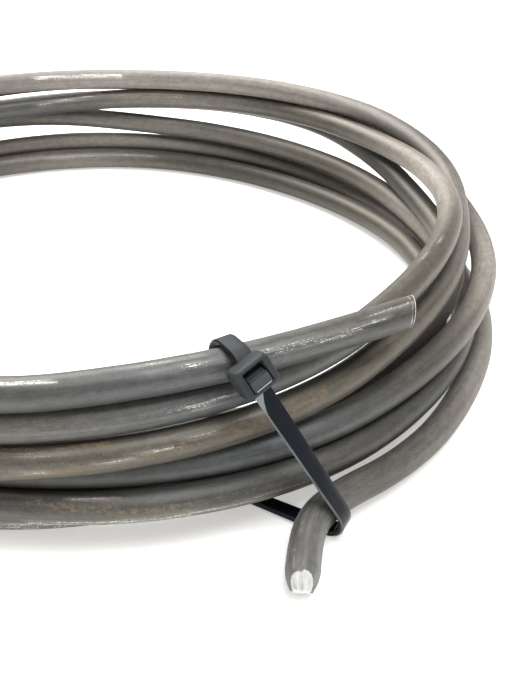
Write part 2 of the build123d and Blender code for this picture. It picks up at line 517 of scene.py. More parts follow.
# %% The wire's tube
steel = bpy.data.materials.new("scaled_steel")
nylon = bpy.data.materials.new("black_nylon")
line_mesh = new_mesh("wire_line", wire_line[:, :3],
                     edges=[(i, i + 1) for i in range(len(wire_line) - 1)])
write_attribute(line_mesh, "along", ring_places)
write_attribute(line_mesh, "turns", wire_line[:, 3])
wire = plain_mesh("wire_rod", line_mesh, wire_tree(), {"Material": steel})
print(wire.name, "has", len(wire.data.polygons), "faces and attributes",
      sorted(a.name for a in wire.data.attributes if not a.name.startswith(".")))

# %% [markdown]
# ## The two cut ends
#
# The upper end was sheared: its face is nearly square, a little slanted, and its rim is drawn
# out into a narrow bright lip. The lower end was nipped with side cutters, which leaves two
# slanting facets that meet in a short ridge. Both are made on the open tube: the last rings are
# squeezed to the cutter's shape, and more rings close the face.

# %% Where each point of the tube lies on the straightened wire
def beside_each_point(rows):
    """Rows along the smooth line, read off where each point of the tube lies."""
    return np.stack([np.interp(from_start, dense_along, rows[:, k]) for k in range(3)], axis=1)


spots = np.array([tuple(v.co) for v in wire.data.vertices])
from_start = read_attribute(wire.data, "wire_place", 3)[:, 2]
print("along the wire from", round(from_start.min() / MM, 2),
      "to", round(from_start.max() / MM, 2), "mm")
centre = beside_each_point(dense)
ahead = np.stack([np.gradient(dense[:, k], dense_along) for k in range(3)], axis=1)
heading = beside_each_point(ahead)
heading /= np.linalg.norm(heading, axis=1)[:, None]
level = np.cross(heading, [0.0, 0.0, 1.0])
level /= np.linalg.norm(level, axis=1)[:, None]
raised = np.cross(level, heading)
offset = spots - centre
sideways = (offset * level).sum(axis=1)
upward = (offset * raised).sum(axis=1)
radius = wire_diameter / 2

# %% The nipped lower end
nip_length = 2.3 * MM
nip_fade = 1.3
nip_edge = 0.22 * MM
nip_height = 1.02 * radius
nip_hollow = 1.10
nip_sides = 4.8 * MM
nip_narrowing = 0.52
nip_side_curve = 2.2
scallop_low, scallop_rise = 0.76, 0.24
scallop_wave, scallop_shift = 0.80, 0.12
cut_soft = 1.2 * MM
to_tip = wire_length - from_start
across_share = np.clip(sideways / radius, -1, 1)
# The jaws left two scallops side by side, with a ridge a little left of the middle.
wave = np.abs(np.sin(np.pi * (scallop_wave * across_share - scallop_shift)))
share = np.clip(to_tip / (nip_length * (scallop_low + scallop_rise * wave)), 0, 1)
roof = nip_edge + (nip_height - nip_edge) * share ** nip_hollow
near_tip = to_tip < nip_length * nip_fade
cut = np.where(near_tip, np.clip((np.abs(upward) - roof) / cut_soft + 0.5, 0, 1), 0.0)
upward = np.where(near_tip, np.clip(upward, -roof, roof), upward)
nearness = 1 - np.clip(to_tip / nip_sides, 0, 1)
sideways = sideways * (1 - nip_narrowing * nearness ** nip_side_curve)
print("points squeezed by the nip:", int(near_tip.sum()))

# %% The sheared upper end, with a narrow lip that shines and a crease behind it
shear_slant = 0.56
shear_towards = (-0.98, -0.18)
shear_reach = 5.0 * MM
lip_reach = 1.1 * MM
lip_crease, crease_width = 0.07 * MM, 0.28 * MM
lip_round, lip_round_reach = 0.16 * MM, 0.30 * MM
lip_width, lip_shine = 0.32 * MM, 1.5
crease_shine, crease_shine_width = 0.56, 0.22 * MM
near_start = np.clip(1 - from_start / shear_reach, 0, 1)
leaning = sideways * shear_towards[0] + upward * shear_towards[1]
forward_shift = shear_slant * leaning * near_start
crease = lip_crease * np.exp(-((from_start - lip_reach) / crease_width) ** 2)
rounding = lip_round * np.clip(1 - from_start / lip_round_reach, 0, 1) ** 2
smaller = 1 - (crease + rounding) / radius
sideways, upward = sideways * smaller, upward * smaller
crease_glint = np.exp(-((from_start - lip_reach) / crease_shine_width) ** 2)
cut = np.maximum(cut, np.clip(lip_shine - from_start / lip_width, 0, 1))
cut = np.maximum(cut, crease_shine * crease_glint)
spots = (centre + level * sideways[:, None] + raised * upward[:, None]
         + heading * forward_shift[:, None])
wire.data.vertices.foreach_set("co", spots.ravel())
write_attribute(wire.data, "cut", cut)
print("points on the cut faces:", int((cut > 0.5).sum()))

# %% [markdown]
# ## Marks that lie in one place
#
# Most of the wire's wear is alike everywhere, and noise will do for it. Some marks can be
# pointed at: a chipped edge, a scraped streak, a rust patch, and a few painted highlights on
# the far turns. Each row below is one of them, from one place to another. A place is a number of
# turns along the wire and an angle round its section, in degrees: 0 faces the coil's middle, 90
# is up and 180 faces out. Then come half its width in degrees, and how strong it is. Noise breaks
# the marks up later.

# %% The scrapes, the painted highlights and the rust patches
scrape_and_highlight_rows = (
    (-0.014, 112, 0.004, 112, 7, 1.10), (-0.058, 97, -0.032, 104, 5, 0.60),
    (-0.064, 121, -0.057, 123, 3, 0.85), (-0.066, 140, -0.046, 133, 14, 0.30),
    (-0.121, 142, -0.105, 147, 6, 1.00), (-0.110, 143, -0.080, 139, 15, 0.58),
    (-0.134, 112, -0.118, 106, 6, 0.60), (0.930, 152, 0.988, 146, 3, 0.60),
    (0.938, 170, 0.943, 168, 4, 0.85), (1.976, 131, 1.990, 128, 5, 0.62),
    (1.988, 181, 1.993, 183, 3, 0.70), (1.953, 150, 1.969, 170, 5, 0.80),
    (1.915, 120, 1.940, 128, 3, 0.45), (1.940, 137, 1.962, 158, 6, 0.62),
    (4.948, 196, 4.990, 204, 15, 0.70), (4.908, 176, 4.950, 198, 8, 0.74),
    (5.965, 196, 6.008, 192, 24, 0.68), (4.972, 112, 4.977, 111, 3, 0.80),
    # The four rows on the next two lines paint highlights and sheen on the far turns.
    (1.445, 38, 1.490, 36, 13, 1.00), (0.445, 24, 0.474, 42, 13, 0.72),
    (0.470, 44, 0.525, 30, 15, 0.46), (2.475, 35, 2.515, 35, 16, 0.60),
    (5.447, 34, 5.510, 38, 9, 0.48), (4.430, 52, 4.520, 50, 10, 0.42),
    (0.800, 96, 0.818, 84, 4, 0.62), (0.735, 20, 0.790, 52, 3, 0.50),
    (0.600, 84, 0.645, 92, 4, 0.50), (6.921, 66, 6.926, 54, 5, 0.70),
)
rust_rows = (
    (1.970, 104, 1.983, 108, 12, 1.00), (1.992, 95, 2.000, 97, 11, 0.90),
    (1.975, 184, 1.989, 187, 9, 1.00), (1.966, 172, 1.978, 173, 8, 0.70),
    (1.940, 150, 1.960, 162, 14, 0.75), (0.984, 136, 0.999, 125, 12, 0.50),
    (0.957, 113, 0.973, 111, 8, 0.50), (4.969, 114, 4.979, 112, 9, 1.00),
    (4.981, 136, 4.990, 122, 12, 0.75), (4.972, 145, 4.981, 151, 11, 0.80),
    (4.950, 156, 4.967, 160, 16, 0.72), (4.915, 130, 4.940, 140, 18, 0.40),
    (1.900, 140, 1.932, 152, 17, 0.85), (2.010, 110, 2.060, 150, 20, 0.70),
    (3.020, 130, 3.080, 100, 18, 0.60), (5.100, 120, 5.180, 160, 20, 0.60),
    (6.250, 100, 6.330, 130, 18, 0.50), (1.300, 80, 1.360, 60, 18, 0.50),
)

# %% The masks of the marks
mark_fade = 2.2 * MM
mark_full, mark_steepness = 1.35, 1.6
around = np.degrees(np.arctan2(upward, sideways)) % 360
turns_here = read_attribute(wire.data, "turns")


def mask_of(rows):
    """How strongly each point of the wire lies in one of the marks, from 0 to 1."""
    mask = np.zeros(len(spots))
    for turn_a, around_a, turn_b, around_b, half_width, strength in rows:
        share = np.clip((turns_here - turn_a) / (turn_b - turn_a), 0, 1)
        past = np.abs(turns_here - (turn_a + share * (turn_b - turn_a))) * 2 * np.pi * coil_radius
        beside = np.abs(around - (around_a + share * (around_b - around_a)))
        beside = np.minimum(beside, 360 - beside)
        inside = np.clip(mark_full - np.hypot(past / mark_fade, beside / half_width), 0, 1)
        mask = np.maximum(mask, np.clip(inside * mark_steepness, 0, 1) * strength)
    return mask


# %% How close the next turn lies
crowd_chunk = 1500
own_stretch = 60.0 * MM
crowd_reach = 1.6 * MM


def crowding():
    """1 where another turn nearly touches a point of the surface, and 0 where none is near."""
    nearest = np.full(len(spots), np.inf)
    for first in range(0, len(spots), crowd_chunk):
        part = slice(first, first + crowd_chunk)
        gap = np.linalg.norm(spots[part, None, :] - wire_line[None, :, :3], axis=2)
        same = np.abs(from_start[part, None] - ring_places[None, :]) < own_stretch
        nearest[part] = np.where(same, np.inf, gap).min(axis=1)
    return np.clip(1 - (nearest - radius) / crowd_reach, 0, 1)


# The last mask paints contact shade: the steel is darkened where another turn nearly touches.
for label, mask in (("scrape_and_highlight", mask_of(scrape_and_highlight_rows)), ("rusted", mask_of(rust_rows)),
                    ("contact_shade", crowding())):
    write_attribute(wire.data, label, mask)
    print(label, "covers", int((mask > 0).sum()), "points")

# %% Rings that close both ends
ring_shares = (0.86, 0.55, 0.25)


def close_end(mesh, at_start):
    """Adds rings of points that shrink towards the middle, and closes the smallest."""
    shape = bmesh.new()
    shape.from_mesh(mesh)
    place_layer = shape.verts.layers.float_vector["wire_place"]
    cut_layer = shape.verts.layers.float["cut"]
    edges = [e for e in shape.edges if e.is_boundary
             and (e.verts[0][place_layer].z < wire_length / 2) == at_start]
    ends_added = sum((e.verts[0].co + e.verts[1].co for e in edges), Vector())
    middle = ends_added / len(edges) / 2
    previous = 1.0
    for share in ring_shares:
        made = bmesh.ops.extrude_edge_only(shape, edges=edges)["geom"]
        for v in made:
            if isinstance(v, bmesh.types.BMVert):
                v.co = middle + (v.co - middle) * (share / previous)
                v[cut_layer] = 1.0
        edges = [g for g in made if isinstance(g, bmesh.types.BMEdge) and g.is_boundary]
        previous = share
    bmesh.ops.edgenet_fill(shape, edges=edges)
    bmesh.ops.recalc_face_normals(shape, faces=shape.faces)
    shape.to_mesh(mesh)
    shape.free()


for at_start in (True, False):
    close_end(wire.data, at_start)
wire.data.shade_smooth()
print("wire_rod closed:", len(wire.data.polygons), "faces")
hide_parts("wire")
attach(wire, "root")

# %% [markdown]
# ## The steel's finish
#
# The wire is not painted and not bright. It carries the dark oxide of hot rolling, which is
# grey with a blue or a brown cast and has a dull gloss. Where it lay damp it has started to
# rust, in orange and ochre specks that gather in patches. Handling has scraped the high side
# along the wire, which leaves fine pale streaks and small bright flakes of bare steel. All this
# follows the wire, so the patterns are laid out on the straightened wire and only the broad
# changes of tone are placed by how many turns along the wire they lie. Painted shade darkens
# the steel where another turn nearly touches and on stretches of the inner turns, and one of
# the paler stretches is a painted highlight.

# %% The steel's colours
oxide_dark = (0.064, 0.060, 0.053, 1.0)
oxide_blue = (0.104, 0.112, 0.116, 1.0)
oxide_warm = (0.150, 0.130, 0.100, 1.0)
pale_tone = (0.430, 0.385, 0.345, 1.0)
rust_orange = (0.215, 0.112, 0.058, 1.0)
rust_ochre = (0.230, 0.195, 0.118, 1.0)
bare_steel_and_highlight = (0.760, 0.735, 0.680, 1.0)
cut_steel = (0.820, 0.825, 0.820, 1.0)
cut_dull = (0.520, 0.530, 0.530, 1.0)
shade_low = (0.45, 0.45, 0.45, 1.0)
shade_high = (1.55, 1.55, 1.55, 1.0)

# %% Where each tone gathers: the place in turns, half its reach and its strength
blue_stretches = (
    (6.93, 0.05, 0.9), (-0.07, 0.11, 0.85), (3.93, 0.10, 1.0), (0.94, 0.10, 1.0),
    (0.44, 0.05, 0.8), (4.50, 0.14, 0.4), (5.10, 0.20, 0.4),
)
# Painted shade: stretches of the inner turns, where the coil shades itself, are darkened.
painted_shade_stretches = (
    (5.68, 0.13, 1.0), (4.64, 0.09, 0.7), (2.68, 0.07, 0.8), (6.60, 0.07, 0.5),
)
# Paler stretches, lightened towards a pale tone; the one at 0.72 turns paints a highlight.
pale_stretches = (
    (1.52, 0.26, 1.0), (4.50, 0.12, 0.3), (6.74, 0.19, 1.0), (0.72, 0.09, 1.0),
    (6.93, 0.06, 0.4), (4.72, 0.10, 0.8), (2.77, 0.07, 0.6), (3.77, 0.08, 1.0),
    (0.52, 0.07, 0.5), (1.74, 0.09, 0.6), (6.48, 0.12, 0.6), (5.46, 0.08, 0.5),
    (0.99, 0.06, 0.30), (2.45, 0.09, 0.35),
)


def stretches(turns, places):
    """How strongly a tone gathers here: the strongest of its smooth bumps along the wire."""
    total = None
    for at, reach, strength in places:
        bump = (1.0 - abs(turns - at) / reach).ramp(0.0, 1.0) * strength
        total = bump if total is None else total.at_least(bump)
    return total


# %% How a material's tree begins and ends
def new_material_tree(material):
    material.use_nodes = True
    material.node_tree.nodes.clear()
    return Graph(material.node_tree)


def bumps(graph, strength, depth, height):
    """The surface's direction, tilted by a height from 0 to 1 that stands for a depth."""
    return graph.add("ShaderNodeBump", None,
                     {"Strength": strength, "Distance": depth, "Height": height})


def finish_material(graph, surface):
    """Leads values and links, by the names of the shader's inputs, to the surface."""
    shader = graph.add("ShaderNodeBsdfPrincipled", None, surface)
    graph.add("ShaderNodeOutputMaterial", None, {"Surface": shader})


# %% The steel's tones, marks and relief
scale_depth = 0.12 * MM


def dress_steel(material):
    graph = new_material_tree(material)
    place_on_wire = graph.attribute("wire_place", output=1)
    turns = graph.attribute("turns")
    cut_here = graph.attribute("cut")
    scrape_and_highlight = graph.attribute("scrape_and_highlight")
    rusted = graph.attribute("rusted")
    contact_shade = graph.attribute("contact_shade")

    def pattern(across, along, detail, roughness=0.55):
        """Noise on the straightened wire. Across and along are its repeats per millimetre."""
        repeats = (across / MM, across / MM, along / MM)
        stretched = graph.vector_math("MULTIPLY", place_on_wire, repeats)
        return graph.noise(stretched, 1.0, detail, roughness)

    cloud = pattern(0.18, 0.022, 4.0)
    drift = pattern(0.10, 0.007, 3.0)
    streak = pattern(2.6, 0.05, 4.0, 0.65)
    fine_streak = pattern(6.5, 0.16, 3.0, 0.6)
    grain = pattern(3.4, 2.4, 4.0, 0.7)
    speck = pattern(1.7, 1.1, 6.0, 0.78)
    mottle = pattern(0.85, 0.45, 5.0, 0.65)
    band = pattern(0.9, 0.012, 2.0, 0.5).ramp(0.30, 0.70)
    cut = (cut_here + (mottle - 0.5) * 0.35).ramp(0.46, 0.60)

    # The oxide: blue, warm and paler stretches, mottled. It is darkened by painted shade where
    # another turn nearly touches and on stretches of the inner turns, and one paler stretch is a
    # painted highlight.
    in_blue = stretches(turns, blue_stretches)
    blue = (in_blue * 0.70 + cloud.ramp(0.45, 0.70) * 0.45).clamp()
    warm = (drift.ramp(0.36, 0.62) * 0.9 - in_blue * 0.5).clamp()
    # Paler stretches, one of them a painted highlight.
    paleness = (stretches(turns, pale_stretches) * (0.55 + cloud * 0.6)).clamp()
    colour = graph.mix(blue, oxide_dark, oxide_blue)
    colour = graph.mix(warm * 0.70, colour, oxide_warm)
    colour = graph.mix(paleness * 0.60, colour, pale_tone)
    mottled = (streak.ramp(0.25, 0.75) * 0.20 + grain.ramp(0.25, 0.75) * 0.30 + band * 0.22
               + mottle.ramp(0.30, 0.70) * 0.28)
    # Painted shade on stretches of the inner turns.
    dark = stretches(turns, painted_shade_stretches)
    light = mottled * (1.0 - contact_shade * 0.50) * (1.0 - dark * 0.55)
    shade = graph.mix(light, shade_low, shade_high)
    colour = graph.add("ShaderNodeMix", {"data_type": "RGBA", "blend_type": "MULTIPLY"},
                       {0: 1.0, 6: colour, 7: shade}, output=2)

    # Rust in two colours, which gather in the patches.
    ochre = (speck + rusted * 0.15 + cloud * 0.08).ramp(0.635, 0.74)
    orange = (speck * 0.6 + grain * 0.4 + rusted * 0.16).ramp(0.615, 0.70)
    colour = graph.mix(ochre * (0.30 + rusted * 0.30), colour, rust_ochre)
    colour = graph.mix(orange * (0.20 + rusted * 0.42), colour, rust_orange)

    # Bare steel where flakes came off and painted highlights on the far turns, and the freshly
    # cut faces.
    flaky = grain * 0.45 + fine_streak * 0.55
    bare_and_highlight = ((flaky + scrape_and_highlight * 0.20).ramp(0.655, 0.72) * 0.85
            + scrape_and_highlight * streak.ramp(0.30, 0.62) * 0.30).clamp()
    colour = graph.mix(bare_and_highlight, colour, bare_steel_and_highlight)
    sheen = graph.mix(mottle.ramp(0.35, 0.62), cut_dull, cut_steel)
    colour = graph.mix(cut, colour, sheen)

    # Rust and the paler stretches are dull, and bare steel and the painted highlights are a
    # little smoother.
    rusty = (ochre * 0.4 + orange * 0.6).clamp() * (0.4 + rusted * 0.6)
    rough = 0.40 + mottled * 0.16 + rusty * 0.25 + paleness * 0.16 - bare_and_highlight * 0.14
    rough = rough * (1.0 - cut) + cut * 0.40
    metal = (0.45 - rusty * 0.45 - paleness * 0.35 + bare_and_highlight * 0.3).clamp()
    metal = metal * (1.0 - cut) + cut * 0.5
    relief = grain * 0.35 + streak * 0.20 + speck * 0.25 + mottle * 0.20 - bare_and_highlight * 0.25
    finish_material(graph, {"Base Color": colour, "Roughness": rough, "Metallic": metal,
                            "Normal": bumps(graph, 0.55, scale_depth, relief)})


dress_steel(steel)
print("scaled_steel has", len(steel.node_tree.nodes), "nodes")

# %% [markdown]
# ## The cable tie's strap
#
# The tie is one nylon moulding. Its strap leaves the head, runs straight down the outside of
# the turns, bends under the lowest wire, comes up inside the coil and goes over the top wire
# into the head again. The corners are those of the solid model. Between them the strap is
# straight and takes up its twist, and at them it bends round the wire. On its inner face two
# rails stand beside a ladder of teeth. Its outer left edge has a bevel, wide at the head and
# thin further on. The light on that bevel and a painted reflection along its run down the
# outside, strongest beside the head, make the pale line that shows against the black. The solid
# model's strap is 3.6 mm wide and 1.2 mm thick. The one seen here is a little slimmer, because
# a real strap's edges are rounded and its teeth are sunk in.

# %% Sizes and corners of the tie
strap_thickness = 1.2 * MM
strap_clearance = 0.12 * MM
head_width = 6.8 * MM
head_length = 5.6 * MM
head_height = 4.4 * MM
head_foot = 0.3 * MM
head_angle = 334.3
head_wire_shares = (0.12, 5.215)
head_offset_shares = (1.25, 0.00, 0.25)
tie_angles = (327.9, 335.5, 335.5, 335.3, 334.6)
tie_wire_shares = ((2.18, 0.82), (-0.27, 0.80), (-0.92, 2.26), (0.12, 5.215), (0.12, 5.215))
tie_offset_shares = ((1.73, 1.05, -1.12), (-1.30, 0.00, -1.06), (-1.25, 0.00, 0.00),
                     (-1.25, 0.00, 1.00), (0.60, 0.00, 1.00))
bend_radius = radius + strap_clearance + strap_thickness / 2


def unit(vector):
    return vector / np.linalg.norm(vector)


def along_coil(angle):
    """The direction in which the wires run at an angle, towards the upper end."""
    turned = math.radians(angle)
    return np.array([math.cos(turned), -math.sin(turned), 0.0])


def strap_corner(angle, wire_shares, offset_shares):
    """A corner beside a wire, offset outward, along the coil and up in bend radii."""
    turned = math.radians(angle)
    outward = np.array([-math.sin(turned), -math.cos(turned), 0.0])
    out, ahead_share, up = offset_shares
    offset = outward * out + along_coil(angle) * ahead_share + np.array([0.0, 0.0, up])
    return place(angle, wire_shares) + offset * bend_radius


head_centre = strap_corner(head_angle, head_wire_shares, head_offset_shares)
tie_corners = [strap_corner(*row) for row in zip(tie_angles, tie_wire_shares, tie_offset_shares)]
down = unit(tie_corners[0] - head_centre)
head_across = unit(along_coil(head_angle) - down * np.dot(along_coil(head_angle), down))
head_out = -np.cross(head_across, down)
print("the strap has", len(tie_corners), "corners, head at",
      [round(v / MM, 1) for v in head_centre])

# %% The strap's stations: place, width's direction, heading and distance
run_step = 0.9 * MM
bend_step = math.radians(7.5)


def turned_about(vector, axis, angle):
    """A vector turned about an axis of length 1."""
    return (vector * math.cos(angle) + np.cross(axis, vector) * math.sin(angle)
            + axis * np.dot(axis, vector) * (1 - math.cos(angle)))


def strap_stations(start, corners, end, across):
    """Place, width's direction and heading, along the straight runs and round the bends."""
    points = [start] + corners + [end]
    made = [(start, across, unit(corners[0] - start))]
    for before, corner, after in zip(points, points[1:], points[2:]):
        inward, onward = unit(corner - before), unit(after - corner)
        turn = math.acos(float(np.dot(inward, onward)))
        axis = unit(np.cross(inward, onward))
        first = corner - inward * bend_radius * math.tan(turn / 2)
        middle = first + np.cross(axis, inward) * bend_radius
        wide = axis if np.dot(axis, across) >= 0 else -axis
        made += straight_stations(made[-1], (first, wide, inward))
        steps = max(2, math.ceil(turn / bend_step))
        for k in range(1, steps + 1):
            share = turn * k / steps
            spot = middle + turned_about(first - middle, axis, share)
            made.append((spot, wide, turned_about(inward, axis, share)))
        across = wide
    made += straight_stations(made[-1], (end, across, made[-1][2]))
    return made


def straight_stations(begin, finish):
    steps = max(1, round(np.linalg.norm(finish[0] - begin[0]) / run_step))
    return [(begin[0] + (finish[0] - begin[0]) * k / steps,
             unit(begin[1] + (finish[1] - begin[1]) * k / steps), finish[2])
            for k in range(1, steps + 1)]


strap = strap_stations(head_centre, tie_corners, head_centre, head_across)
strap_places = np.concatenate([[0.0], np.cumsum(
    [np.linalg.norm(b[0] - a[0]) for a, b in zip(strap, strap[1:])])])
print("strap length", round(strap_places[-1] / MM, 1), "mm in", len(strap), "stations")

# %% The strap's section
bevel_depth = 0.34 * MM
bevel_thin = 0.20 * MM
bevel_wide = 2.3 * MM
bevel_from = 2.6 * MM
bevel_to = 7.5 * MM
edge_round = 0.18 * MM
seen_width = 3.42 * MM
seen_outer = 0.45 * MM
seen_inner = 0.55 * MM
side_taper = 0.32 * MM
seam = 0.03 * MM
bevel_rows = (3, 4)
rail_width = 0.40 * MM
channel_depth = 0.28 * MM
teeth_from = 16.0 * MM


def strap_section(distance):
    """The section's corners, as (across, outward), at a distance along the strap."""
    half, thick, under = seen_width / 2, seen_outer, seen_inner
    r, t = edge_round, side_taper
    fading = np.clip((bevel_to - distance) / (bevel_to - bevel_from), 0, 1)
    bevel = bevel_thin + (bevel_wide - bevel_thin) * fading ** 1.5
    channel = channel_depth * np.clip((distance - teeth_from) / run_step, 0, 1)
    inner = half - t - rail_width
    return [(half - r, thick), (half / 3, thick), (-half + bevel + seam, thick),
            (-half + bevel, thick), (-half, thick - bevel_depth),
            (-half + seam / 3, thick - bevel_depth - seam), (-half + t, -under + r),
            (-half + t + 0.3 * r, -under + 0.3 * r), (-half + t + r, -under), (-inner, -under),
            (-inner + 0.3 * r, -under + channel), (0.0, -under + channel),
            (inner - 0.3 * r, -under + channel), (inner, -under), (half - t - r, -under),
            (half - t - 0.3 * r, -under + 0.3 * r), (half - t, -under + r),
            (half, thick - r), (half - 0.3 * r, thick - 0.3 * r)]


print("the strap's section has", len(strap_section(0.0)), "corners")


# %% A skin over loops of points
def skin(name, loops):
    """A closed mesh over loops of equally many points, with a fan on the first and the last."""
    count = len(loops[0])
    verts = [point for loop in loops for point in loop]
    faces = []
    for k in range(len(loops) - 1):
        for j in range(count):
            a, b = k * count + j, k * count + (j + 1) % count
            faces.append((a, b, b + count, a + count))
    for loop_at in (0, len(loops) - 1):
        verts.append(np.mean(loops[loop_at], axis=0))
        hub = len(verts) - 1
        for j in range(count):
            faces.append((hub, loop_at * count + j, loop_at * count + (j + 1) % count))
    mesh = new_mesh(name, verts, faces=faces)
    shape = bmesh.new()
    shape.from_mesh(mesh)
    bmesh.ops.recalc_face_normals(shape, faces=shape.faces)
    shape.to_mesh(mesh)
    shape.free()
    return mesh


# %% The strap's mesh
def outward_of(across, heading):
    """The strap's outer side, away from the wires it goes round."""
    return np.cross(heading, across)


strap_loops = []
for (spot, across, heading_here), distance in zip(strap, strap_places):
    outer = outward_of(across, heading_here)
    strap_loops.append([spot + across * a + outer * b for a, b in strap_section(distance)])
side = np.dot(outward_of(strap[0][1], strap[0][2]), head_out)
print("the strap's outer side agrees with the head's:", round(float(side), 2))
strap_mesh = skin("tie_strap", strap_loops)

# %% A painted reflection on the bevel, strongest beside the head, and a paler band over the top
reflection_at_head, reflection_further = 1.00, 0.36
pale_band_above = 32.0 * MM
pale_band = 0.12
strap_reflection_and_band = []
for loop, distance in zip(strap_loops, strap_places):
    fading = np.clip((bevel_to - distance) / (bevel_to - bevel_from), 0, 1)
    on_way_up = distance > strap_places[-1] / 2
    # Painted reflection on the bevel on the way down, strongest beside the head.
    on_bevel = 0.0 if on_way_up else reflection_further + (reflection_at_head - reflection_further) * fading
    for row, point in enumerate(loop):
        # The band over the top is made paler.
        high = pale_band if on_way_up and point[2] > pale_band_above else 0.0
        strap_reflection_and_band.append(on_bevel if row in bevel_rows else high)
strap_reflection_and_band += [0.0] * (len(strap_mesh.vertices) - len(strap_reflection_and_band))
print("worn points of the strap:", sum(wear_and_reflection > 0 for wear_and_reflection in strap_reflection_and_band))

# %% [markdown]
# ## The ladder of teeth, by Geometry Nodes
#
# The pawl in the head clicks over a row of small teeth, all alike and all one pitch apart. They
# are one saw-toothed rib, placed on a row of points. Each point carries the two directions that
# turn its rib with the strap.

# %% The ribs' node tree
rib_length = 1.95 * MM
rib_width = 0.62 * MM
rib_height = 0.24 * MM
rib_lean = 0.20 * MM


def rib_tree():
    graph, given = new_geometry_tree("ribs along a strap", (
        ("Rib Length", "NodeSocketFloat", rib_length),
        ("Rib Width", "NodeSocketFloat", rib_width),
        ("Rib Height", "NodeSocketFloat", rib_height),
        ("Lean", "NodeSocketFloat", rib_lean),
        ("Material", "NodeSocketMaterial", None)))
    size = graph.add("ShaderNodeCombineXYZ", None, {"X": given["Rib Length"],
                     "Y": given["Rib Width"], "Z": given["Rib Height"] * 2.0})
    rib = graph.add("GeometryNodeMeshCube", None, {"Size": size})
    at = graph.add("GeometryNodeInputPosition")
    high = graph.add("ShaderNodeSeparateXYZ", None, {0: at}, output="Z").math("GREATER_THAN", 0.0)
    lean = graph.add("ShaderNodeCombineXYZ", None, {"Y": given["Lean"] * high})
    rib = graph.add("GeometryNodeSetPosition", None, {"Geometry": rib, "Offset": lean})
    turn = graph.add("FunctionNodeAxesToRotation", {"primary_axis": "Z", "secondary_axis": "X"},
                     {"Primary Axis": graph.stored("rib_up"),
                      "Secondary Axis": graph.stored("rib_across")})
    points = graph.add("GeometryNodeMeshToPoints", None, {"Mesh": given["Geometry"]})
    ribs = graph.add("GeometryNodeInstanceOnPoints", None,
                     {"Points": points, "Instance": rib, "Rotation": turn})
    finish_tree(graph, ribs, given["Material"])
    return graph.tree


# %% Points for the ribs, one pitch apart
rib_pitch = 1.05 * MM
rib_stop = 3.0 * MM
rib_places = np.arange(teeth_from + rib_pitch, strap_places[-1] - rib_stop, rib_pitch)
centres = np.array([s[0] for s in strap])
across_all = np.array([s[1] for s in strap])
outer_all = np.array([outward_of(s[1], s[2]) for s in strap])


def on_strap(values, distances):
    """Rows along the strap, read off at some distances."""
    return np.stack([np.interp(distances, strap_places, values[:, k]) for k in range(3)], axis=1)


rib_up = -on_strap(outer_all, rib_places)
floor_depth = seen_inner - channel_depth
rib_points = on_strap(centres, rib_places) + rib_up * floor_depth
points_mesh = new_mesh("rib_points", rib_points)
write_attribute(points_mesh, "rib_up", rib_up)
write_attribute(points_mesh, "rib_across", on_strap(across_all, rib_places))
ribs = plain_mesh("ribs", points_mesh, rib_tree(), {"Material": nylon})
print(len(rib_places), "ribs,", len(ribs.data.polygons), "faces")

# %% [markdown]
# ## The head
#
# The head is a rounded box with a window through which the pawl shows. It could be cut out with
# a Boolean, but a stack of rounded rectangles is cleaner: up the outside, over the rim, and
# down the window's walls to its floor. The strap's end was cut off in the window, so its stub
# fills the lower half, and two ridges of the pawl lie above it.

# %% Rounded rectangles, stacked
corner_places = 7


def rounded_rectangle(half_x, half_y, corner, height, centre_y=0.0):
    """A level loop of points in the head's own axes."""
    points = []
    for sx, sy, begin in ((1, 1, 0), (-1, 1, 90), (-1, -1, 180), (1, -1, 270)):
        for k in range(corner_places):
            a = math.radians(begin + 90 * k / (corner_places - 1))
            points.append((sx * (half_x - corner) + corner * math.cos(a),
                           centre_y + sy * (half_y - corner) + corner * math.sin(a), height))
    return points


def head_point(point):
    """From the head's own axes (across, up the strap, outward) to the row's."""
    x, y, z = point
    foot = strap_thickness / 2 + head_foot
    return head_centre + head_across * x - down * y + head_out * (z - foot)


def head_stack(name, rings, centre_y=0.0):
    """A closed mesh over rings of (half width, half length, corner, height)."""
    return skin(name, [[head_point(p) for p in rounded_rectangle(*ring, centre_y)]
                       for ring in rings])


# %% The head's rings
half_x, half_y = head_width / 2, head_length / 2
window_x, window_y = 2.05 * MM, 2.0 * MM
window_depth = 2.6 * MM
head_rings = (
    (half_x - 0.60 * MM, half_y - 0.60 * MM, 0.50 * MM, 0.0),
    (half_x - 0.16 * MM, half_y - 0.16 * MM, 0.80 * MM, 0.14 * MM),
    (half_x, half_y, 0.95 * MM, 0.50 * MM),
    (half_x, half_y, 0.95 * MM, head_height - 1.05 * MM),
    (half_x - 0.07 * MM, half_y - 0.07 * MM, 1.0 * MM, head_height - 0.55 * MM),
    (half_x - 0.24 * MM, half_y - 0.22 * MM, 1.0 * MM, head_height - 0.22 * MM),
    (half_x - 0.50 * MM, half_y - 0.42 * MM, 0.95 * MM, head_height - 0.05 * MM),
    (half_x - 0.72 * MM, half_y - 0.52 * MM, 0.85 * MM, head_height),
    (window_x + 0.28 * MM, window_y + 0.20 * MM, 0.42 * MM, head_height),
    (window_x + 0.10 * MM, window_y + 0.08 * MM, 0.32 * MM, head_height - 0.07 * MM),
    (window_x, window_y, 0.25 * MM, head_height - 0.25 * MM),
    (window_x - 0.08 * MM, window_y - 0.08 * MM, 0.22 * MM, head_height - window_depth),
)
head_mesh = head_stack("tie_head", head_rings)

